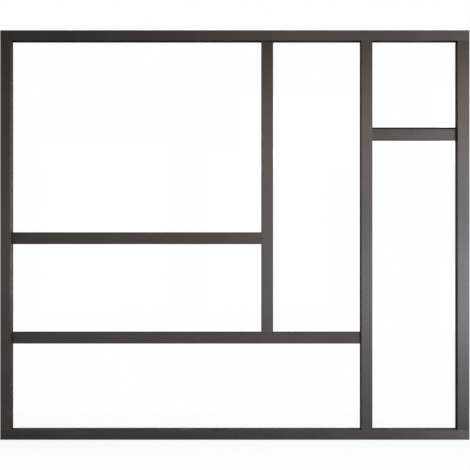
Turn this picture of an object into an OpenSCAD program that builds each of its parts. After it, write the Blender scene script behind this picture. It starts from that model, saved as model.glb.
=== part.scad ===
// Fixed glazed partition: dark metal extrusions round six clear panes.
// The outer frame and the main mullion are deep sections. The other four bars are shallow
// sections, flush with them at the rear and set back at the front. Each pane stands on setting
// blocks between two black gaskets, and four snap-in beads hold it from the rear.
// X runs along the wall, the front faces -Y, and the origin is at floor level in the middle.

/* [Overall] */
// Width over the outer faces of the stiles
overall_w = 2750; // [2500:10:3600]
// Height from the floor to the top of the head
overall_h = 2400; // [2200:10:3000]

/* [Layout] */
// Centre line of the main mullion, from the left edge
main_mullion_at = 2149; // [1900:1:2200]
// Centre line of the upper mullion, from the left edge
upper_mullion_at = 1566; // [1200:1:1650]
// Centre line of the upper left transom, above the floor
upper_transom_at = 1181; // [950:1:1500]
// Centre line of the lower transom, above the floor
lower_transom_at = 594; // [400:1:750]
// Centre line of the right transom, above the floor
right_transom_at = 1792; // [1400:1:1950]

/* [Extrusions] */
// Width of the face of the main mullion and the four set-back bars
face_w = 65; // [60:1:90]
// Width of the left stile's face
left_w = 61; // [54:1:90]
// Width of the right stile's face
right_w = 69; // [54:1:90]
// Height of the head's face
head_w = 60; // [54:1:90]
// Height of the sill's face
sill_w = 57; // [54:1:90]
// Depth of the outer frame and the main mullion
deep_depth = 46; // [42:1:80]
// Depth of the four set-back bars
bar_depth = 25; // [24:0.5:32]
// How far the rebate runs in behind a member's face
rebate_w = 17; // [15:0.5:18]
// Wall of the extrusions
wall = 2; // [1.6:0.1:2.4]
// Thicker wall along the rebate, which holds the bead slot
stem_wall = 4; // [3.5:0.1:4.5]
// Radius along the visible edges
edge_r = 1.2; // [0.5:0.1:2]
// Hairline left between a coped face and the member it meets
joint_gap = 0.3; // [0.1:0.05:0.6]

/* [Glazing] */
// Thickness of the glass
glass_t = 6; // [6:0.5:8]
// Thickness of each gasket between the glass and its seat
gasket_t = 3; // [2.5:0.25:4]
// Clearance from the edge of the glass to the rebate floor
glass_clearance = 5; // [4:0.5:6]
// How far the gasket's lip shows inside the face's edge
lip_w = 2.5; // [2:0.5:6]
// Thickness of the lip against the glass
lip_t = 1.5; // [1:0.1:2]
// Height of the wider lip under the front of the top right pane
wide_lip = 10; // [6:0.5:14]
// Distance from the gasket's hidden edge to the edge of the glass
gasket_back = 2; // [1:0.5:2]
// Length of a setting block
block_l = 100; // [50:5:150]
// Width of a setting block across the glass
block_w = 10; // [8:0.5:11]
// Distance from the rebate's corner to the first setting block
block_inset = 75; // [65:5:120]

/* [Beads and grooves] */
// Depth of a glazing bead, from its gasket to the rear face
bead_d = 8; // [7.5:0.5:12]
// Wall of a glazing bead
bead_wall = 1.5; // [1.2:0.1:1.8]
// Clearance round a fitted bead
bead_gap = 0.2; // [0.1:0.05:0.4]
// Distance from the pocket to the slot that a bead snaps into
slot_set = 3; // [2.5:0.1:3.2]
// Width of the bead slot
slot_w = 2.8; // [2.4:0.1:3]
// Depth of the bead slot
slot_d = 1.5; // [1:0.1:2]
// Distance from the face's edge to the middle of the gasket groove
groove_set = 6; // [5.5:0.1:6.5]
// Width of the groove's mouth
mouth_w = 3; // [2.6:0.1:3.4]
// Depth of the groove's mouth
mouth_d = 0.9; // [0.8:0.1:1.1]
// Width of the groove behind its mouth
groove_w = 4.4; // [4:0.1:5]
// Depth of the groove behind its mouth
groove_d = 1.6; // [1.4:0.1:1.8]
// Clearance round the gasket's foot
foot_gap = 0.2; // [0.1:0.05:0.3]

/* [Connectors] */
// Length of a spigot along the member it holds
spigot_l = 60; // [50:1:90]
// Thickness of a spigot's base
spigot_base = 8; // [6:0.5:12]
// Thickness of a spigot's cheeks
cheek_t = 3; // [2:0.25:3]
// Clearance between a spigot and the chamber round it
spigot_gap = 0.2; // [0.1:0.05:0.4]
// Diameter of the screws through the carrying member
connector_d = 4.5; // [4:0.25:4.75]
// Diameter of their heads
connector_head_d = 8.5; // [8:0.25:9]
// Thickness of their heads
connector_head_t = 3.5; // [2.5:0.1:4]
// Distance between the two screws of a joint
connector_pitch = 11.5; // [11:0.1:11.7]
// Metal left between an access hole and the bead slot
slot_margin = 0.5; // [0.5:0.1:1]
// Diameter of the access holes in the far wall
access_d = 10; // [9.5:0.1:10.5]
// Distance from the rebate floor to the locking screws
lock_at = 35; // [25:1:40]
// Diameter of the locking screws
lock_d = 4; // [3:0.5:5]
// Diameter of their countersunk heads
lock_head_d = 8; // [7:0.5:9]
// Depth of the countersink
lock_head_t = 2.2; // [1.8:0.1:2.4]
// Clearance round a screw in a plain hole
hole_gap = 0.25; // [0.1:0.05:0.4]
// Clearance round a screw in its tapped hole
thread_gap = 0.05; // [0.03:0.01:0.1]

/* [Fixings] */
// Diameter of the holes for the building's screws
fixing_d = 9; // [7:0.5:11]
// Distance from the screen's ends to the outer holes of the sill and head
fixing_end_x = 375; // [300:5:420]
// Distance between the inner holes of the sill and head
fixing_inner_x = 700; // [600:10:900]
// Distance from the floor and from the top to the outer holes of the stiles
fixing_end_z = 300; // [200:5:400]
// Distance between the inner holes of the stiles
fixing_inner_z = 660; // [500:10:800]

/* [Hidden] */
$fn = 48;
over = 1; // how far a cut runs past what it cuts

frame_colour = [0.33, 0.30, 0.28];
bead_colour = [0.30, 0.27, 0.26];
glass_colour = [0.80, 0.90, 0.90, 0.35];
gasket_colour = [0.06, 0.06, 0.06];
connector_colour = [0.70, 0.71, 0.73];
screw_colour = [0.55, 0.56, 0.58];
block_colour = [0.16, 0.30, 0.42];

// Depths, on Y, drawn with the middle of the glass at 0
pocket_y = glass_t / 2 + gasket_t;
rear_y = pocket_y + bead_d; // rear face of every member and bead
deep_front = deep_depth - rear_y;
bar_front = bar_depth - rear_y;
glass_y = deep_depth / 2 - rear_y; // place of the glass, with the origin halfway through the depth
stem_w = face_w - 2 * rebate_w;
gasket_w = rebate_w - glass_clearance - gasket_back; // how far a gasket reaches in behind the face

// How far each outer member reaches out from its centre line, which is half of face_w from its inner
// edge, as in every other member
left_outer = left_w - face_w / 2;
right_outer = right_w - face_w / 2;
head_outer = head_w - face_w / 2;
sill_outer = sill_w - face_w / 2;

// Centre lines of the members, on X and Z
left_x = left_outer - overall_w / 2;
right_x = overall_w / 2 - right_outer;
main_x = main_mullion_at - overall_w / 2;
upper_x = upper_mullion_at - overall_w / 2;
sill_z = sill_outer;
head_z = overall_h - head_outer;

// What lies round each pane: its name, the centre lines of the members on its left and right,
// those below and above, and how far its front gasket's bottom lip shows.
openings = [
    ["top_left", [left_x, upper_x], [upper_transom_at, head_z], lip_w],
    ["middle_left", [left_x, upper_x], [lower_transom_at, upper_transom_at], lip_w],
    ["bottom_left", [left_x, main_x], [sill_z, lower_transom_at], lip_w],
    ["centre", [upper_x, main_x], [lower_transom_at, head_z], lip_w],
    ["top_right", [main_x, right_x], [right_transom_at, head_z], wide_lip],
    ["bottom_right", [main_x, right_x], [sill_z, right_transom_at], lip_w]
];
function label(o) = o[0];
function sight_x(o) = [o[1][0] + face_w / 2, o[1][1] - face_w / 2];
function sight_z(o) = [o[2][0] + face_w / 2, o[2][1] - face_w / 2];
function width(o) = sight_x(o)[1] - sight_x(o)[0];
function height(o) = sight_z(o)[1] - sight_z(o)[0];
function bottom_lip(o) = o[3];

// The sides of a pane in turn. Each starts where the one before it ends.
sides = ["bottom", "right", "top", "left"];
function side_turn(side) = 90 - 90 * side;
function side_x(o, side) = sight_x(o)[side == 1 || side == 2 ? 1 : 0];
function side_z(o, side) = sight_z(o)[side >= 2 ? 1 : 0];
function side_l(o, side) = side % 2 == 0 ? width(o) : height(o);

// Inner limit of a section's rear chamber, behind a rebate or on an outer member's plain side
function chamber_end(outer) = outer == 0 ? stem_w / 2 - stem_wall : outer - wall;
function chamber_w(outer) = chamber_end(0) + chamber_end(outer);
function chamber_shift(outer) = (chamber_end(outer) - chamber_end(0)) / 2;
rebate_up = sill_z + stem_w / 2; // rebate floor of the sill
rebate_down = head_z - stem_w / 2; // rebate floor of the head

// A joint: the carrying member, the one it holds, X, Z, the turn about Y that points Z along the
// held one, chamber width, front face, distance to the carrier's far face, sides with a locking screw
both = [-1, 1];
function rail_joint(carrier, held, x, turn, chamber, locks) = carrier == "sill_rail" ?
    [carrier, held, x, rebate_up, turn, chamber, deep_front, sill_w - rebate_w, locks] :
    [carrier, held, x, rebate_down, turn, chamber, deep_front, head_w - rebate_w, locks];
function bar_joint(carrier, held, x, z, turn, reach) =
    [carrier, held, x, z, turn, chamber_w(0), bar_front, reach, both];
left_joint_x = left_x - chamber_shift(left_outer);
right_joint_x = right_x + chamber_shift(right_outer);
left_stem_x = left_x + stem_w / 2;
right_stem_x = right_x - stem_w / 2;
joints = [
    rail_joint("sill_rail", "left_stile", left_joint_x, 0, chamber_w(left_outer), [1]),
    rail_joint("sill_rail", "right_stile", right_joint_x, 0, chamber_w(right_outer), [-1]),
    rail_joint("head_rail", "left_stile", left_joint_x, 180, chamber_w(left_outer), [-1]),
    rail_joint("head_rail", "right_stile", right_joint_x, 180, chamber_w(right_outer), [1]),
    rail_joint("sill_rail", "main_mullion", main_x, 0, chamber_w(0), both),
    rail_joint("head_rail", "main_mullion", main_x, 180, chamber_w(0), both),
    bar_joint("head_rail", "upper_mullion", upper_x, rebate_down, 180, head_w - rebate_w),
    bar_joint("lower_transom", "upper_mullion", upper_x, lower_transom_at + stem_w / 2, 0, stem_w),
    bar_joint("left_stile", "upper_transom", left_stem_x, upper_transom_at, 90, left_w - rebate_w),
    bar_joint("upper_mullion", "upper_transom", upper_x - stem_w / 2, upper_transom_at, -90, stem_w),
    bar_joint("left_stile", "lower_transom", left_stem_x, lower_transom_at, 90, left_w - rebate_w),
    bar_joint("main_mullion", "lower_transom", main_x - stem_w / 2, lower_transom_at, -90, stem_w),
    bar_joint("main_mullion", "right_transom", main_x + stem_w / 2, right_transom_at, 90, stem_w),
    bar_joint("right_stile", "right_transom", right_stem_x, right_transom_at, -90, right_w - rebate_w)
];
function carrier(j) = j[0];
function held(j) = j[1];
function chamber(j) = j[5];
function front(j) = j[6];
function reach(j) = j[7];
function locks(j) = j[8];
screw_x = [-connector_pitch / 2, connector_pitch / 2];
screw_y = pocket_y + slot_set - slot_margin - access_d / 2;

members = ["sill_rail", "head_rail", "left_stile", "right_stile", "main_mullion", "upper_mullion",
    "upper_transom", "lower_transom", "right_transom"];
hardware = ["corner_spigots", "main_mullion_spigots", "bar_spigots", "connector_screws", "locking_screws",
    "setting_blocks"];
pane_pieces = ["glass", "front_gasket", "rear_gasket"];

// Placing

// Moves a piece drawn round the middle of the glass to its place in the depth
module at_glass() {
    translate([0, glass_y, 0]) children();
}

// Runs a profile, drawn as [up, depth], along X at the height z
module run_x(x0, x1, z) {
    translate([x1, 0, z]) rotate([0, -90, 0]) linear_extrude(x1 - x0) children();
}

// Runs a profile, drawn as [across, depth], up along Z at the place x
module run_z(z0, z1, x) {
    translate([x, 0, z0]) linear_extrude(z1 - z0) children();
}

// Puts the origin on the rebate floor of the carrying member, with Z along the one it holds
module at_joint(j) {
    translate([j[2], 0, j[3]]) rotate([0, j[4], 0]) children();
}

// Puts the origin at the start of a pane's side, with X into the member and Z along its edge
module at_side(o, side) {
    translate([side_x(o, side), 0, side_z(o, side)]) rotate([0, side_turn(side), 0]) children();
}

// Profiles

// Waste that leaves a rounded edge, for a corner at the origin whose material is at +X, +Y
module edge_waste() {
    difference() {
        translate([-over, -over]) square(edge_r + over);
        translate([edge_r, edge_r]) circle(edge_r);
    }
}

// Groove for a gasket's foot, from the origin along +Y
module groove_shape(clearance) {
    translate([clearance - mouth_w / 2, -over])
        square([mouth_w - 2 * clearance, over + mouth_d + clearance]);
    translate([clearance - groove_w / 2, mouth_d + clearance])
        square([groove_w - 2 * clearance, groove_d - 2 * clearance]);
}

// Metal round a groove
module groove_boss(around) {
    translate([-groove_w / 2 - around, 0]) square([groove_w + 2 * around, mouth_d + groove_d + around]);
}

// Section of a member whose face is at -front. A side has a rebate, or where its `outer` isn't 0 it
// is an outer member's plain side and reaches that far. The part in front of the rebates is hollow in
// a deep member and solid in a shallow one.
module member_section(front, outer_low, outer_high) {
    half = face_w / 2;
    glazed_low = outer_low == 0;
    glazed_high = outer_high == 0;
    face_low = glazed_low ? -half : -outer_low;
    face_high = glazed_high ? half : outer_high;
    low = glazed_low ? -stem_w / 2 : -outer_low;
    high = glazed_high ? stem_w / 2 : outer_high;
    chamber_low = -chamber_end(outer_low);
    chamber_high = chamber_end(outer_high);
    glazed = concat(glazed_low ? [-1] : [], glazed_high ? [1] : []);
    difference() {
        polygon([[face_low, -front], [face_high, -front], [face_high, -pocket_y], [high, -pocket_y],
            [high, rear_y], [low, rear_y], [low, -pocket_y], [face_low, -pocket_y]]);
        difference() {
            union() {
                if (front == deep_front) translate([face_low + wall, wall - front])
                    square([face_high - face_low - 2 * wall, front - pocket_y - 2 * wall]);
                translate([chamber_low, wall - front])
                    square([chamber_high - chamber_low, front - pocket_y - wall]);
            }
            for (s = glazed)
                translate([s * (half - groove_set), -pocket_y]) mirror([0, 1]) groove_boss(wall);
        }
        translate([chamber_low, wall - pocket_y])
            square([chamber_high - chamber_low, pocket_y + rear_y - 2 * wall]);
        for (s = glazed) {
            translate([s * (half - groove_set), -pocket_y]) mirror([0, 1]) groove_shape(0);
            translate([s * (stem_w + over - slot_d) / 2, pocket_y + slot_set + slot_w / 2])
                square([slot_d + over, slot_w], center = true);
        }
        translate([face_low, -front]) edge_waste();
        translate([face_high, -front]) rotate(90) edge_waste();
        if (!glazed_low) translate([low, rear_y]) rotate(-90) edge_waste();
        if (!glazed_high) translate([high, rear_y]) rotate(180) edge_waste();
    }
}

// Section of a bead, from the sight line at X 0 to the rib in the member's slot
module bead_section() {
    bead_w = rebate_w - bead_gap;
    translate([0, pocket_y]) difference() {
        union() {
            square([bead_w, bead_d]);
            translate([bead_w - over, slot_set + bead_gap])
                square([over + slot_d, slot_w - 2 * bead_gap]);
        }
        difference() {
            translate([bead_wall, bead_wall]) square([bead_w - 2 * bead_wall, bead_d - 2 * bead_wall]);
            translate([groove_set, 0]) groove_boss(bead_wall);
        }
        translate([groove_set, 0]) groove_shape(0);
        translate([0, bead_d]) rotate(-90) edge_waste();
    }
}

// Members

// Holes in a carrying member: plain ones for the screws, and access holes opposite
module carrier_holes(j) {
    for (x = screw_x) translate([x, screw_y, 0]) {
        translate([0, 0, -stem_wall - over])
            cylinder(d = connector_d + 2 * hole_gap, h = stem_wall + 2 * over);
        translate([0, 0, -reach(j) - over]) cylinder(d = access_d, h = stem_wall + 2 * over);
    }
}

// A countersunk locking screw's body or hole, from `start` outside the stem to `depth` inside it.
// The cone widens on its own slope where it runs out past the stem.
module lock_shape(j, side, clearance, start, depth) {
    shank = lock_d + 2 * clearance;
    head = lock_head_d + 2 * clearance;
    sink = lock_head_t + clearance;
    translate([side * (chamber(j) / 2 + stem_wall), 0, lock_at]) rotate([0, -90 * side, 0])
        translate([0, 0, -start]) {
            cylinder(d = shank, h = start + depth);
            cylinder(d1 = head + (head - shank) * start / sink, d2 = shank, h = start + sink);
        }
}

// What is cut from the end of a member that meets another: its face is coped back to leave the
// stem, which runs on across the rebate
module end_cuts(j) {
    translate([-face_w, -front(j) - over, -over])
        cube([2 * face_w, front(j) - pocket_y + over, rebate_w + joint_gap + over]);
    for (s = locks(j)) lock_shape(j, s, hole_gap, over, stem_wall + over);
}

// Cuts every joint of the named member from its extrusion
module jointed(name) {
    difference() {
        children();
        for (j = joints) {
            if (carrier(j) == name) at_joint(j) carrier_holes(j);
            if (held(j) == name) at_joint(j) end_cuts(j);
        }
    }
}

fixing_x = [fixing_end_x - overall_w / 2, -fixing_inner_x / 2, fixing_inner_x / 2,
    overall_w / 2 - fixing_end_x];
fixing_z = [fixing_end_z, (overall_h - fixing_inner_z) / 2, (overall_h + fixing_inner_z) / 2,
    overall_h - fixing_end_z];

// Holes for the building's screws, through a sill or head whose centre line is at z
module rail_fixings(z, outer) {
    for (x = fixing_x) translate([x, 0, z]) cylinder(d = fixing_d, h = 2 * (outer + over), center = true);
}

// The same through a stile whose centre line is at x
module stile_fixings(x, outer) {
    for (z = fixing_z) translate([x, 0, z]) rotate([0, 90, 0])
        cylinder(d = fixing_d, h = 2 * (outer + over), center = true);
}

module sill_rail() {
    color(frame_colour) difference() {
        jointed("sill_rail") run_x(-overall_w / 2, overall_w / 2, sill_z)
            member_section(deep_front, sill_outer, 0);
        rail_fixings(sill_z, sill_outer);
    }
}

module head_rail() {
    color(frame_colour) difference() {
        jointed("head_rail") run_x(-overall_w / 2, overall_w / 2, head_z)
            member_section(deep_front, 0, head_outer);
        rail_fixings(head_z, head_outer);
    }
}

module left_stile() {
    color(frame_colour) difference() {
        jointed("left_stile") run_z(rebate_up, rebate_down, left_x)
            member_section(deep_front, left_outer, 0);
        stile_fixings(left_x, left_outer);
    }
}

module right_stile() {
    color(frame_colour) difference() {
        jointed("right_stile") run_z(rebate_up, rebate_down, right_x)
            member_section(deep_front, 0, right_outer);
        stile_fixings(right_x, right_outer);
    }
}

module main_mullion() {
    color(frame_colour) jointed("main_mullion")
        run_z(rebate_up, rebate_down, main_x) member_section(deep_front, 0, 0);
}

module upper_mullion() {
    color(frame_colour) jointed("upper_mullion")
        run_z(lower_transom_at + stem_w / 2, rebate_down, upper_x) member_section(bar_front, 0, 0);
}

module upper_transom() {
    color(frame_colour) jointed("upper_transom")
        run_x(left_stem_x, upper_x - stem_w / 2, upper_transom_at)
        member_section(bar_front, 0, 0);
}

module lower_transom() {
    color(frame_colour) jointed("lower_transom")
        run_x(left_stem_x, main_x - stem_w / 2, lower_transom_at)
        member_section(bar_front, 0, 0);
}

module right_transom() {
    color(frame_colour) jointed("right_transom")
        run_x(main_x + stem_w / 2, right_stem_x, right_transom_at)
        member_section(bar_front, 0, 0);
}

// Connectors

// A channel whose base stands on the rebate floor and whose cheeks fill the chamber
module spigot(j) {
    w = chamber(j) - 2 * spigot_gap;
    difference() {
        translate([0, rear_y - wall - spigot_gap, 0]) rotate([90, 0, 0])
            linear_extrude(pocket_y + rear_y - 2 * (wall + spigot_gap))
            polygon([[-w / 2, 0], [w / 2, 0], [w / 2, spigot_l], [w / 2 - cheek_t, spigot_l],
                [w / 2 - cheek_t, spigot_base], [cheek_t - w / 2, spigot_base],
                [cheek_t - w / 2, spigot_l], [-w / 2, spigot_l]]);
        for (x = screw_x) translate([x, screw_y, -over])
            cylinder(d = connector_d + 2 * thread_gap, h = spigot_base + 2 * over);
        for (s = locks(j)) lock_shape(j, s, thread_gap, over, stem_wall + spigot_gap + cheek_t + over);
    }
}

module corner_spigots() {
    color(connector_colour) for (j = joints)
        if (held(j) == "left_stile" || held(j) == "right_stile") at_joint(j) spigot(j);
}

module main_mullion_spigots() {
    color(connector_colour) for (j = joints) if (held(j) == "main_mullion") at_joint(j) spigot(j);
}

module bar_spigots() {
    color(connector_colour) for (j = joints) if (front(j) == bar_front) at_joint(j) spigot(j);
}

// Round-headed screws, driven through the access holes into the spigots' bases
module connector_screws() {
    color(screw_colour) for (j = joints) at_joint(j) for (x = screw_x)
        translate([x, screw_y, -stem_wall - connector_head_t]) {
            cylinder(d = connector_head_d, h = connector_head_t);
            cylinder(d = connector_d, h = connector_head_t + stem_wall + spigot_base);
        }
}

// Countersunk screws, flush with the rebate floor
module locking_screws() {
    color(screw_colour) for (j = joints) at_joint(j)
        for (s = locks(j)) lock_shape(j, s, 0, 0, stem_wall + spigot_gap + cheek_t);
}

// Glazing

module glass(o) {
    edge = rebate_w - glass_clearance;
    color(glass_colour) translate([sight_x(o)[0] - edge, -glass_t / 2, sight_z(o)[0] - edge])
        cube([width(o) + 2 * edge, glass_t, height(o) + 2 * edge]);
}

// A rectangular ring between two depths, from `inner` inside the sight line to gasket_w behind it.
// Along the bottom it shows by `bottom`.
module ring(o, inner, bottom, y0, y1) {
    translate([sight_x(o)[0], y1, sight_z(o)[0]]) rotate([90, 0, 0]) linear_extrude(y1 - y0) difference() {
        translate([-gasket_w, -gasket_w]) square([width(o) + 2 * gasket_w, height(o) + 2 * gasket_w]);
        translate([inner, bottom]) square([width(o) - 2 * inner, height(o) - inner - bottom]);
    }
}

// A gasket in front of the glass: lip, body and a foot in the groove of each member
module gasket(o, bottom) {
    color(gasket_colour) {
        ring(o, lip_w, bottom, -glass_t / 2 - lip_t, -glass_t / 2);
        ring(o, 0, 0, -pocket_y, -glass_t / 2 - lip_t + foot_gap);
        for (side = [0:3]) at_side(o, side)
            translate([groove_set, -pocket_y, joint_gap]) linear_extrude(side_l(o, side) - 2 * joint_gap)
                mirror([0, 1]) groove_shape(foot_gap);
    }
}

module front_gasket(o) {
    gasket(o, bottom_lip(o));
}

module rear_gasket(o) {
    mirror([0, 1, 0]) gasket(o, lip_w);
}

// Two blocks under each pane, in from its corners. In a narrow pane they stand at the quarter points.
module setting_blocks() {
    color(block_colour) for (o = openings) {
        floor_z = sight_z(o)[0] - rebate_w;
        inset = min(block_inset, (width(o) + 2 * rebate_w) / 4 - block_l / 2);
        first = sight_x(o)[0] - rebate_w + inset;
        last = sight_x(o)[1] + rebate_w - inset - block_l;
        for (x = [first, last]) translate([x, -block_w / 2, floor_z])
            cube([block_l, block_w, glass_clearance]);
    }
}

// The level beads run through at the corners, and the upright ones stand between them
module bead(o, side) {
    run = side % 2 == 0 ? rebate_w : 0;
    color(bead_colour) at_side(o, side) translate([0, 0, bead_gap - run])
        linear_extrude(side_l(o, side) + 2 * (run - bead_gap)) bead_section();
}

at_glass() sill_rail();
at_glass() head_rail();
at_glass() left_stile();
at_glass() right_stile();
at_glass() main_mullion();
at_glass() upper_mullion();
at_glass() upper_transom();
at_glass() lower_transom();
at_glass() right_transom();
at_glass() corner_spigots();
at_glass() main_mullion_spigots();
at_glass() bar_spigots();
at_glass() connector_screws();
at_glass() locking_screws();
at_glass() setting_blocks();
for (o = openings) {
    at_glass() glass(o);
    at_glass() front_gasket(o);
    at_glass() rear_gasket(o);
    for (side = [0:3])
        at_glass() bead(o, side);
}
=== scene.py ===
import math

import bmesh
import bpy
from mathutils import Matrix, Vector


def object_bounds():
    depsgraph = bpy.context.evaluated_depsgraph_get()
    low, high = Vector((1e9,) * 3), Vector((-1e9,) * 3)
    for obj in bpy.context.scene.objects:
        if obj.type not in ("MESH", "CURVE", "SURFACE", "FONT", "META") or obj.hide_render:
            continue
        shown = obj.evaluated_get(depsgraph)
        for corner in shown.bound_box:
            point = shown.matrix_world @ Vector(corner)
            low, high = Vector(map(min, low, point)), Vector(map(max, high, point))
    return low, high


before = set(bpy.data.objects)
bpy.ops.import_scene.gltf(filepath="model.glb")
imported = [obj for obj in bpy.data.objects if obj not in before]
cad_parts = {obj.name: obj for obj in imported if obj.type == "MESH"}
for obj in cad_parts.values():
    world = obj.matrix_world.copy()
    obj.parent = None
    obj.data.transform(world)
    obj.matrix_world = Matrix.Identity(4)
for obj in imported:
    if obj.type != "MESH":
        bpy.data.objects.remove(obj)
cadBox = [list(corner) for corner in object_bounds()]


# The camera comes first: square on to the front, level with the middle of the screen
cameraSettings = {
    "aside": 0.001,         # how far to the right of the middle of the screen
    "height": 1.2,
    "faceDistance": 3.70,   # from the camera to the front of the deep members
    "frameWidth": 2.7535,   # what the picture's width spans there, in metres
}


def addCamera(settings):
    camera = bpy.data.cameras.new("photoCamera")
    camera.sensor_fit = "HORIZONTAL"
    camera.angle = 2 * math.atan(settings["frameWidth"] / 2 / settings["faceDistance"])
    cameraObject = bpy.data.objects.new("photoCamera", camera)
    front = cadBox[0][1]
    cameraObject.location = (settings["aside"], front - settings["faceDistance"], settings["height"])
    cameraObject.rotation_euler = (math.radians(90), 0, 0)
    bpy.context.scene.collection.objects.link(cameraObject)
    bpy.context.scene.camera = cameraObject


addCamera(cameraSettings)
print("camera placed")


# Small helpers for node trees
def link(tree, source, target):
    tree.links.new(source, target)


def addNode(tree, kind, label="", **settings):
    node = tree.nodes.new(kind)
    node.label = label
    for key, value in settings.items():
        if key in node.inputs:
            node.inputs[key].default_value = value
        else:
            setattr(node, key, value)
    return node


def setSocket(tree, socket, value):
    if isinstance(value, bpy.types.NodeSocket):
        link(tree, value, socket)
    else:
        socket.default_value = value


def addMath(tree, operation, first, second=0.0, clamp=False):
    node = tree.nodes.new("ShaderNodeMath")
    node.operation = operation
    node.use_clamp = clamp
    setSocket(tree, node.inputs[0], first)
    setSocket(tree, node.inputs[1], second)
    return node.outputs["Value"]


def remap(tree, value, fromLow, fromHigh, toLow, toHigh):
    node = tree.nodes.new("ShaderNodeMapRange")
    node.inputs["From Min"].default_value = fromLow
    node.inputs["From Max"].default_value = fromHigh
    node.inputs["To Min"].default_value = toLow
    node.inputs["To Max"].default_value = toHigh
    link(tree, value, node.inputs["Value"])
    return node.outputs["Result"]


def mixColours(tree, factor, first, second):
    node = addNode(tree, "ShaderNodeMix", data_type="RGBA")
    setSocket(tree, node.inputs["Factor"], factor)
    setSocket(tree, node.inputs[6], first)     # sockets 6 and 7 are the two colours
    setSocket(tree, node.inputs[7], second)
    return node.outputs[2]


def mixNumbers(tree, factor, first, second):
    node = addNode(tree, "ShaderNodeMix", data_type="FLOAT")
    setSocket(tree, node.inputs["Factor"], factor)
    setSocket(tree, node.inputs[2], first)     # sockets 2 and 3 are the two numbers
    setSocket(tree, node.inputs[3], second)
    return node.outputs[0]


def splitVector(tree, vector):
    node = addNode(tree, "ShaderNodeSeparateXYZ")
    link(tree, vector, node.inputs[0])
    return node.outputs


def startGroup(name, inputs, outputs):
    group = bpy.data.node_groups.new(name, "ShaderNodeTree")
    for socketName, kind, value in inputs:
        socket = group.interface.new_socket(socketName, in_out="INPUT", socket_type=kind)
        if value is not None:
            socket.default_value = value
    for socketName, kind in outputs:
        group.interface.new_socket(socketName, in_out="OUTPUT", socket_type=kind)
    return group, group.nodes.new("NodeGroupInput"), group.nodes.new("NodeGroupOutput")


floatKind, vectorKind = "NodeSocketFloat", "NodeSocketVector"


# Fine lines left along an extrusion by its die and its brushing. The vector comes in stretched along the run.
lineEffect = {
    "fineness": 900.0,
    "broadness": 120.0,
    "fineShare": 0.65,
    "broadShare": 0.35,
    "spread": (0.3, 0.7),        # the part of the noise that is spread over dark to light
}


def makeDieLines(effect):
    group, inside, outside = startGroup(
        "dieLines",
        [("Vector", vectorKind, None), ("Fineness", floatKind, effect["fineness"]),
         ("Broadness", floatKind, effect["broadness"])],
        [("Lines", floatKind), ("Height", floatKind)])
    fine = addNode(group, "ShaderNodeTexNoise", "brushing", Detail=2.0, Roughness=0.6)
    broad = addNode(group, "ShaderNodeTexNoise", "die marks", Detail=1.0, Roughness=0.5)
    for noise, scale in ((fine, "Fineness"), (broad, "Broadness")):
        link(group, inside.outputs["Vector"], noise.inputs["Vector"])
        link(group, inside.outputs[scale], noise.inputs["Scale"])
    both = addMath(group, "ADD", addMath(group, "MULTIPLY", fine.outputs["Fac"], effect["fineShare"]),
                   addMath(group, "MULTIPLY", broad.outputs["Fac"], effect["broadShare"]))
    link(group, remap(group, both, *effect["spread"], 0.0, 1.0), outside.inputs["Lines"])
    link(group, both, outside.inputs["Height"])
    return group


# Slow, cloudy change of tone over a surface
toneEffect = {
    "scale": 2.5,
    "spread": (0.32, 0.68),
}


def makeSlowTone(effect):
    group, inside, outside = startGroup(
        "slowTone", [("Vector", vectorKind, None), ("Scale", floatKind, effect["scale"])],
        [("Tone", floatKind)])
    cloud = addNode(group, "ShaderNodeTexNoise", "cloud", Detail=4.0, Roughness=0.55)
    link(group, inside.outputs["Vector"], cloud.inputs["Vector"])
    link(group, inside.outputs["Scale"], cloud.inputs["Scale"])
    link(group, remap(group, cloud.outputs["Fac"], *effect["spread"], 0.0, 1.0), outside.inputs["Tone"])
    return group


# Rubbed edges: where a rounded normal parts from the true one, broken up by a fine noise
rubEffect = {
    "radius": 0.002,
    "breakup": 60.0,
    "agreement": (1.0, 0.82),    # how far the two normals agree, from unrubbed to fully rubbed
    "spread": (0.42, 0.62),
}


def makeEdgeRub(effect):
    group, inside, outside = startGroup(
        "edgeRub",
        [("Vector", vectorKind, None), ("Radius", floatKind, effect["radius"]),
         ("Breakup", floatKind, effect["breakup"])],
        [("Mask", floatKind)])
    rounded = addNode(group, "ShaderNodeBevel", "rounded normal", samples=4)
    link(group, inside.outputs["Radius"], rounded.inputs["Radius"])
    surface = addNode(group, "ShaderNodeNewGeometry")
    together = addNode(group, "ShaderNodeVectorMath", operation="DOT_PRODUCT")
    link(group, rounded.outputs["Normal"], together.inputs[0])
    link(group, surface.outputs["Normal"], together.inputs[1])
    edge = remap(group, together.outputs["Value"], *effect["agreement"], 0.0, 1.0)
    noise = addNode(group, "ShaderNodeTexNoise", "breakup", Detail=3.0)
    link(group, inside.outputs["Vector"], noise.inputs["Vector"])
    link(group, inside.outputs["Breakup"], noise.inputs["Scale"])
    broken = remap(group, noise.outputs["Fac"], *effect["spread"], 0.0, 1.0)
    link(group, addMath(group, "MULTIPLY", edge, broken, clamp=True), outside.inputs["Mask"])
    return group


# Dust that has settled on what faces up, in patches and in specks
dustEffect = {
    "amount": 0.3,
    "upward": (0.5, 1.0),        # the normal's Z, from bare to fully dusty
    "patchScale": 9.0,
    "patchSpread": (0.35, 0.7),
    "patchCover": (0.2, 0.7),
    "speckScale": 700.0,
    "speckSpread": (0.55, 0.75),
    "speckCover": (0.0, 0.5),
}


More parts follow.
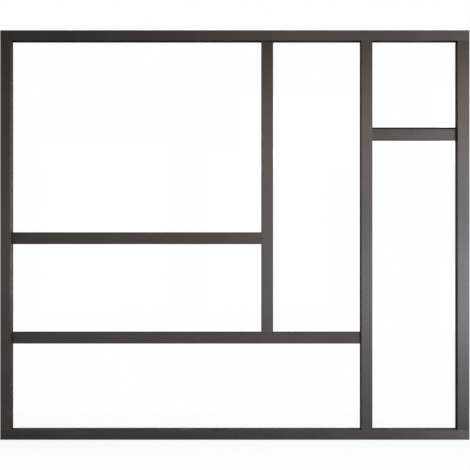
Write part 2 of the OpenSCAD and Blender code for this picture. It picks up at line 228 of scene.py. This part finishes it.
def makeSettledDust(effect):
    group, inside, outside = startGroup(
        "settledDust", [("Vector", vectorKind, None), ("Amount", floatKind, effect["amount"])],
        [("Mask", floatKind)])
    surface = addNode(group, "ShaderNodeNewGeometry")
    upward = remap(group, splitVector(group, surface.outputs["Normal"])["Z"], *effect["upward"], 0.0, 1.0)
    patches = addNode(group, "ShaderNodeTexNoise", "patches", Scale=effect["patchScale"], Detail=5.0)
    specks = addNode(group, "ShaderNodeTexNoise", "specks", Scale=effect["speckScale"], Detail=1.0)
    for noise in (patches, specks):
        link(group, inside.outputs["Vector"], noise.inputs["Vector"])
    patchy = remap(group, patches.outputs["Fac"], *effect["patchSpread"], *effect["patchCover"])
    specked = remap(group, specks.outputs["Fac"], *effect["speckSpread"], *effect["speckCover"])
    lying = addMath(group, "ADD", patchy, specked)
    amount = addMath(group, "MULTIPLY", upward, inside.outputs["Amount"])
    link(group, addMath(group, "MULTIPLY", amount, lying, clamp=True), outside.inputs["Mask"])
    return group


# A fine pebbled grain, as on moulded rubber and plastic
grainEffect = {
    "scale": 900.0,
    "cloudScale": 14.0,
}


def makeFineGrain(effect):
    group, inside, outside = startGroup(
        "fineGrain", [("Vector", vectorKind, None), ("Scale", floatKind, effect["scale"])],
        [("Grain", floatKind), ("Height", floatKind)])
    pebbles = addNode(group, "ShaderNodeTexVoronoi", "pebbles", feature="SMOOTH_F1")
    link(group, inside.outputs["Vector"], pebbles.inputs["Vector"])
    link(group, inside.outputs["Scale"], pebbles.inputs["Scale"])
    cloud = addNode(group, "ShaderNodeTexNoise", "cloud", Scale=effect["cloudScale"], Detail=3.0)
    link(group, inside.outputs["Vector"], cloud.inputs["Vector"])
    link(group, cloud.outputs["Fac"], outside.inputs["Grain"])
    link(group, pebbles.outputs["Distance"], outside.inputs["Height"])
    return group


dieLines = makeDieLines(lineEffect)
slowTone = makeSlowTone(toneEffect)
edgeRub = makeEdgeRub(rubEffect)
settledDust = makeSettledDust(dustEffect)
fineGrain = makeFineGrain(grainEffect)
print("effects made")


def useGroup(tree, group, vector, **settings):
    node = tree.nodes.new("ShaderNodeGroup")
    node.node_tree = group
    node.label = group.name
    link(tree, vector, node.inputs["Vector"])
    for key, value in settings.items():
        node.inputs[key].default_value = value
    return node


def startMaterial(name, **sockets):
    material = bpy.data.materials.new(name)
    material.use_nodes = True
    tree = material.node_tree
    surface = tree.nodes["Principled BSDF"]
    for key, value in sockets.items():
        surface.inputs[key].default_value = value
    place = tree.nodes.new("ShaderNodeTexCoord").outputs["Object"]
    return material, tree, surface, place


def stretched(tree, place, run, ratio):
    mapping = addNode(tree, "ShaderNodeMapping", "stretched along the run")
    scale = [1.0, 1.0, 1.0]
    scale["XYZ".index(run)] = ratio
    mapping.inputs["Scale"].default_value = scale
    link(tree, place, mapping.inputs["Vector"])
    return mapping.outputs["Vector"]


def addBump(tree, surface, height, strength, distance):
    bump = addNode(tree, "ShaderNodeBump", Strength=strength, Distance=distance)
    link(tree, height, bump.inputs["Height"])
    link(tree, bump.outputs["Normal"], surface.inputs["Normal"])


# The surface where the factor is 0, and the other shader where it is 1
def mixShaders(tree, factor, surface, other):
    either = addNode(tree, "ShaderNodeMixShader")
    link(tree, factor, either.inputs["Fac"])
    link(tree, surface, either.inputs[1])
    link(tree, other, either.inputs[2])
    link(tree, either.outputs["Shader"], tree.nodes["Material Output"].inputs["Surface"])


# Dark bronze anodised extrusion, brushed along its run
bronzeSettings = {
    "colour": (0.105, 0.090, 0.083, 1),
    "deepColour": (0.090, 0.076, 0.069, 1),
    "rubbedColour": (0.30, 0.27, 0.25, 1),
    "dustColour": (0.42, 0.40, 0.37, 1),
    "roughness": (0.42, 0.52),
    "toneRoughness": (-0.02, 0.02),    # what the slow change of tone adds to the roughness
    "dustRoughness": 0.4,     # what a full cover of dust adds to it
    "brushRatio": 0.012,      # how fine the lines are along the run, as a share of across it
    "spread": 0.6,            # how far the brushing spreads highlights across the run
    "edgeTint": 0.02,         # how much of its shine the dyed surface keeps at a glancing angle
    "turn": 0.25,             # share of a full turn that takes the highlights from along the run to across it
    "lineShade": 0.86,        # how bright the darkest line is, as a share of the metal between the lines
    "lineDepth": 0.00002,
    "lineStrength": 0.5,
    "rubbed": 0.25,
    "dust": 0.22,
}


def makeBronze(name, run, settings):
    material, tree, surface, place = startMaterial(name, Metallic=1.0, Anisotropic=settings["spread"])
    surface.inputs["Anisotropic Rotation"].default_value = settings["turn"]
    surface.inputs["Specular Tint"].default_value = (*[settings["edgeTint"]] * 3, 1)
    along = stretched(tree, place, run, settings["brushRatio"])
    lines = useGroup(tree, dieLines, along)
    tone = useGroup(tree, slowTone, place)
    rub = useGroup(tree, edgeRub, place)
    dust = useGroup(tree, settledDust, place, Amount=settings["dust"])
    base = mixColours(tree, tone.outputs["Tone"], settings["deepColour"], settings["colour"])
    bright = remap(tree, lines.outputs["Lines"], 0, 1, settings["lineShade"], 1.0)
    lined = mixColours(tree, bright, (0, 0, 0, 1), base)
    rubbed = mixColours(tree, addMath(tree, "MULTIPLY", rub.outputs["Mask"], settings["rubbed"]), lined,
                        settings["rubbedColour"])
    dusty = mixColours(tree, dust.outputs["Mask"], rubbed, settings["dustColour"])
    link(tree, dusty, surface.inputs["Base Color"])
    fromLines = remap(tree, lines.outputs["Lines"], 0, 1, *settings["roughness"])
    fromTone = remap(tree, tone.outputs["Tone"], 0, 1, *settings["toneRoughness"])
    fromDust = addMath(tree, "MULTIPLY", dust.outputs["Mask"], settings["dustRoughness"])
    rough = addMath(tree, "ADD", addMath(tree, "ADD", fromLines, fromTone), fromDust)
    link(tree, rough, surface.inputs["Roughness"])
    tangent = addNode(tree, "ShaderNodeCombineXYZ", "brushing runs along " + run)
    tangent.inputs[run].default_value = 1.0
    link(tree, tangent.outputs["Vector"], surface.inputs["Tangent"])
    addBump(tree, surface, lines.outputs["Height"], settings["lineStrength"], settings["lineDepth"])
    return material


# Bright metals inside the frame: mill-finish spigots and zinc-plated screws
millSettings = {
    "colour": (0.72, 0.73, 0.74, 1),
    "shade": (0.64, 0.65, 0.66, 1),
    "roughness": (0.28, 0.42),
    "fineness": 700.0,
    "lineRatio": 0.05,        # how fine the lines are along Y, as a share of across it
    "cloudScale": 30.0,
    "lineDepth": 0.00002,
    "lineStrength": 0.4,
}
zincSettings = {
    **millSettings,
    "colour": (0.62, 0.63, 0.64, 1),
    "shade": (0.53, 0.54, 0.56, 1),
    "roughness": (0.22, 0.34),
    "fineness": 1500.0,
}


def makeBrightMetal(name, settings):
    material, tree, surface, place = startMaterial(name, Metallic=1.0)
    along = stretched(tree, place, "Y", settings["lineRatio"])
    lines = useGroup(tree, dieLines, along, Fineness=settings["fineness"])
    tone = useGroup(tree, slowTone, place, Scale=settings["cloudScale"])
    link(tree, mixColours(tree, tone.outputs["Tone"], settings["shade"], settings["colour"]),
         surface.inputs["Base Color"])
    link(tree, remap(tree, lines.outputs["Lines"], 0, 1, *settings["roughness"]), surface.inputs["Roughness"])
    addBump(tree, surface, lines.outputs["Height"], settings["lineStrength"], settings["lineDepth"])
    return material


# Black glazing rubber and the plastic of the setting blocks
rubberSettings = {
    "colour": (0.006, 0.006, 0.006, 1),
    "bloom": (0.010, 0.010, 0.010, 1),
    "dustColour": (0.32, 0.31, 0.29, 1),
    "dust": 0.25,
    "bloomSpread": (0.35, 0.7),       # the part of the grain that runs from colour to bloom
    "roughness": (0.78, 0.90),
    "roughnessSpread": (0.3, 0.7),
    "grainScale": 1400.0,
    "grainDepth": 0.00008,
    "grainStrength": 0.35,
    "shine": 0.12,
}
plasticSettings = {
    **rubberSettings,
    "colour": (0.05, 0.12, 0.20, 1),
    "bloom": (0.06, 0.14, 0.23, 1),
    "roughness": (0.40, 0.52),
    "grainScale": 900.0,
    "shine": 0.5,
}


def makeMoulded(name, settings):
    material, tree, surface, place = startMaterial(name)
    surface.inputs["Specular IOR Level"].default_value = settings["shine"]
    grain = useGroup(tree, fineGrain, place, Scale=settings["grainScale"])
    dust = useGroup(tree, settledDust, place, Amount=settings["dust"])
    bloom = remap(tree, grain.outputs["Grain"], *settings["bloomSpread"], 0, 1)
    base = mixColours(tree, bloom, settings["colour"], settings["bloom"])
    dusty = mixColours(tree, dust.outputs["Mask"], base, settings["dustColour"])
    link(tree, dusty, surface.inputs["Base Color"])
    rough = remap(tree, grain.outputs["Grain"], *settings["roughnessSpread"], *settings["roughness"])
    link(tree, rough, surface.inputs["Roughness"])
    addBump(tree, surface, grain.outputs["Height"], settings["grainStrength"], settings["grainDepth"])
    return material


# Clear toughened glass with the faintest film on it. Its shadow is left to the Transparent BSDF.
glassSettings = {
    "colour": (1.0, 1.0, 1.0, 1),
    "filmColour": (0.988, 0.995, 0.991, 1),
    "filmScale": 1.7,
    "bend": 1.5,              # index of refraction
    "waveScale": 1.2,
    "waveDepth": 0.00001,
    "waveStrength": 0.3,
}


def makeGlass(name, settings):
    material, tree, surface, place = startMaterial(name, IOR=settings["bend"], Roughness=0.0)
    surface.inputs["Transmission Weight"].default_value = 1.0
    film = useGroup(tree, slowTone, place, Scale=settings["filmScale"])
    link(tree, mixColours(tree, film.outputs["Tone"], settings["colour"], settings["filmColour"]),
         surface.inputs["Base Color"])
    wave = addNode(tree, "ShaderNodeTexNoise", "roller wave", Scale=settings["waveScale"], Detail=0.0)
    link(tree, place, wave.inputs["Vector"])
    addBump(tree, surface, wave.outputs["Fac"], settings["waveStrength"], settings["waveDepth"])
    clear = addNode(tree, "ShaderNodeBsdfTransparent")
    path = addNode(tree, "ShaderNodeLightPath")
    mixShaders(tree, path.outputs["Is Shadow Ray"], surface.outputs["BSDF"], clear.outputs["BSDF"])
    return material


# The level bars take a lighter copy of the same bronze: painted light, which makes them read brighter than the
# rest
paintedLightBarSettings = {
    **bronzeSettings,
    "colour": (0.120, 0.103, 0.095, 1),
    "deepColour": (0.103, 0.087, 0.079, 1),
}

bronzeUpright = makeBronze("bronzeUpright", "Z", bronzeSettings)
bronzeLevel = makeBronze("bronzeLevel", "X", bronzeSettings)
# painted light: the bars' bronze is a lighter copy of the rest, so they read brighter
paintedLightBronzeBar = makeBronze("paintedLightBronzeBar", "X", paintedLightBarSettings)
millAluminium = makeBrightMetal("millAluminium", millSettings)
zincSteel = makeBrightMetal("zincSteel", zincSettings)
gasketRubber = makeMoulded("gasketRubber", rubberSettings)
blockPlastic = makeMoulded("blockPlastic", plasticSettings)
paneGlass = makeGlass("paneGlass", glassSettings)
print("materials made")


# Every CAD node takes the material of its kind. Members and beads take one that is brushed along their run.
uprightNames = ("left_stile", "right_stile", "main_mullion", "upper_mullion")
levelNames = ("sill_rail", "head_rail")
barNames = ("upper_transom", "lower_transom", "right_transom")
kinds = (
    (bronzeUpright, lambda name: name in uprightNames or name.endswith(("_bead_left", "_bead_right"))),
    (bronzeLevel, lambda name: name in levelNames or name.endswith(("_bead_bottom", "_bead_top"))),
    (paintedLightBronzeBar, lambda name: name in barNames),
    (millAluminium, lambda name: name.endswith("_spigots")),
    (zincSteel, lambda name: name.endswith("_screws")),
    (gasketRubber, lambda name: name.endswith("_gasket")),
    (blockPlastic, lambda name: name == "setting_blocks"),
    (paneGlass, lambda name: name.endswith("_glass")),
)


def dressNode(name, node):
    material = next(material for material, fits in kinds if fits(name))
    for slot in node.material_slots:
        slot.material = material


for name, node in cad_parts.items():
    dressNode(name, node)
print("nodes dressed:", len(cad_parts))


# 0 for a Y in front of the screen and 1 for one behind it, with a narrow change between
halfChange = 0.02


def behindScreen(tree, y):
    return remap(tree, y, -halfChange, halfChange, 0.0, 1.0)


# Rays that see white: the camera's own, those through a pane and those that a pane mirrors. A ray that satin
# metal sends through a pane looks the same as one mirrored inside a pane, but it goes behind the screen.
def whiteRays(tree, behind):
    out = addNode(tree, "ShaderNodeLightPath").outputs
    through = addMath(tree, "SUBTRACT", out["Is Transmission Ray"],
                      addMath(tree, "ADD", out["Glossy Depth"], out["Diffuse Depth"]), clamp=True)
    mirrored = addMath(tree, "MULTIPLY", out["Is Glossy Ray"], out["Is Singular Ray"])
    for barred in (addMath(tree, "MULTIPLY", out["Is Transmission Ray"], behind),
                   addMath(tree, "SUBTRACT", out["Glossy Depth"], 1.0, clamp=True), out["Diffuse Depth"]):
        mirrored = addMath(tree, "SUBTRACT", mirrored, barred, clamp=True)
    return addMath(tree, "ADD", out["Is Camera Ray"], addMath(tree, "ADD", through, mirrored), clamp=True)


# What satin metal mirrors, also where a pane stands in between
def metalRays(tree):
    out = addNode(tree, "ShaderNodeLightPath").outputs
    return addMath(tree, "SUBTRACT", out["Glossy Depth"], out["Diffuse Depth"], clamp=True)


# The floor shows white to the camera, also through and in the glass, and keeps a faint shadow
floorSettings = {
    "size": 60.0,
    "paint": (0.80, 0.80, 0.80, 1),
    "paintedShadeInMetal": (0.02, 0.02, 0.02, 1),    # painted shade: behind the screen the floor shows almost black in satin metal, which darkens the metal's reveals and undersides
    "roughness": 0.9,
    "whiteNear": 0.90,       # how white it shows beside the screen, where the shadow lies
    "whiteFar": 1.0,
    "fade": (0.1, 0.7),      # where the first gives way to the second, in metres from the screen
}


def makeFloorPaint(settings):
    material, tree, surface, place = startMaterial("floorPaint", Roughness=settings["roughness"])
    surface.inputs["Specular IOR Level"].default_value = 0.0
    parts = splitVector(tree, place)
    behind = behindScreen(tree, parts["Y"])
    inMetal = addMath(tree, "MULTIPLY", metalRays(tree), behind)
    # painted shade: the floor's paint goes almost black where satin metal mirrors it behind the screen
    paint = mixColours(tree, inMetal, settings["paint"], settings["paintedShadeInMetal"])
    link(tree, paint, surface.inputs["Base Color"])
    screenReach = cadBox[1][0]    # to either side
    past = addMath(tree, "SUBTRACT", addMath(tree, "ABSOLUTE", parts["X"]), screenReach)
    away = addMath(tree, "MAXIMUM", addMath(tree, "ABSOLUTE", parts["Y"]), past)
    white = remap(tree, away, *settings["fade"], settings["whiteNear"], settings["whiteFar"])
    glow = addNode(tree, "ShaderNodeEmission", Strength=1.0)
    mixShaders(tree, addMath(tree, "MULTIPLY", whiteRays(tree, behind), white), surface.outputs["BSDF"],
               glow.outputs["Emission"])
    return material


def addFloor(settings):
    bm = bmesh.new()
    bmesh.ops.create_grid(bm, x_segments=1, y_segments=1, size=settings["size"] / 2)
    mesh = bpy.data.meshes.new("floor")
    bm.to_mesh(mesh)
    bm.free()
    mesh.materials.append(makeFloorPaint(settings))
    floor = bpy.data.objects.new("floor", mesh)
    bpy.context.scene.collection.objects.link(floor)


addFloor(floorSettings)

# The room is white where it is seen. Satin metal mirrors it dimly in front and behind, and brighter beside
# and above.
worldSettings = {
    "white": 1.0,
    "diffuse": 0.36,
    "ahead": 0.14,                # what satin metal mirrors in front of it and behind it
    "beside": 0.5,                # and beside and above it
    "besideFrom": (0.8, 0.45),    # where the first gives way to the second, on the size of the direction's Y
}


def addWorld(settings):
    world = bpy.data.worlds.new("studio")
    bpy.context.scene.world = world
    world.use_nodes = True
    tree = world.node_tree
    tree.nodes.clear()
    y = splitVector(tree, tree.nodes.new("ShaderNodeTexCoord").outputs["Generated"])["Y"]
    sizeOfY = addMath(tree, "ABSOLUTE", y)
    inMetal = remap(tree, sizeOfY, *settings["besideFrom"], settings["ahead"], settings["beside"])
    dim = mixNumbers(tree, metalRays(tree), settings["diffuse"], inMetal)
    level = mixNumbers(tree, whiteRays(tree, behindScreen(tree, y)), dim, settings["white"])
    background = addNode(tree, "ShaderNodeBackground", Color=(1, 1, 1, 1))
    link(tree, level, background.inputs["Strength"])
    output = addNode(tree, "ShaderNodeOutputWorld")
    link(tree, background.outputs["Background"], output.inputs["Surface"])


addWorld(worldSettings)

# Soft lamps on a ring round the middle of the screen. A turn is in degrees, from straight in front towards
# the right.
lampRing = {"radius": 5.0, "middle": (0, 0, 1.2)}
lampSettings = {
    "frontLamp": {"turn": 5, "height": 1.3, "size": (1.6, 2.2), "watts": 15, "colour": (0.97, 0.95, 1.0)},
    "leftLamp": {"turn": -20, "height": 1.3, "size": (1.6, 2.2), "watts": 14, "colour": (0.94, 1.0, 0.90)},
    "sideLamp": {"turn": 60, "height": 1.3, "size": (1.6, 2.2), "watts": 90, "colour": (0.62, 0.82, 1.0)},
    "farSideLamp": {"turn": 75, "height": 1.3, "size": (1.6, 2.2), "watts": 100, "colour": (0.62, 0.82, 1.0)},
    "lowRightLamp": {"turn": 40, "height": 0.3, "size": (1.6, 1.0), "watts": 80, "colour": (0.70, 0.78, 1.0)},
    "highLamp": {"turn": 10, "height": 2.6, "size": (1.6, 1.0), "watts": 23, "colour": (1.0, 0.89, 0.79)},
    "highRightLamp": {"turn": 40, "height": 2.6, "size": (1.6, 1.0), "watts": 31, "colour": (1.0, 0.90, 0.86)},
    "rearRightLamp": {"turn": 145, "height": 1.3, "size": (1.6, 2.2), "watts": 90, "colour": (1.0, 1.0, 1.0)},
    "rearLeftLamp": {"turn": -145, "height": 1.3, "size": (1.6, 2.2), "watts": 40, "colour": (1.0, 1.0, 1.0)},
}


def addLamp(name, settings):
    lamp = bpy.data.lights.new(name, "AREA")
    lamp.shape = "RECTANGLE"
    lamp.size, lamp.size_y = settings["size"]
    lamp.energy = settings["watts"]
    lamp.color = settings["colour"]
    lampObject = bpy.data.objects.new(name, lamp)
    turn = math.radians(settings["turn"])
    radius = lampRing["radius"]
    lampObject.location = (radius * math.sin(turn), -radius * math.cos(turn), settings["height"])
    aim = Vector(lampRing["middle"]) - lampObject.location
    lampObject.rotation_euler = aim.to_track_quat("-Z", "Y").to_euler()
    lampObject.visible_camera = False
    lampObject.visible_transmission = False
    bpy.context.scene.collection.objects.link(lampObject)


for name, settings in lampSettings.items():
    addLamp(name, settings)
bpy.context.scene.view_settings.view_transform = "Standard"
print("studio lit")
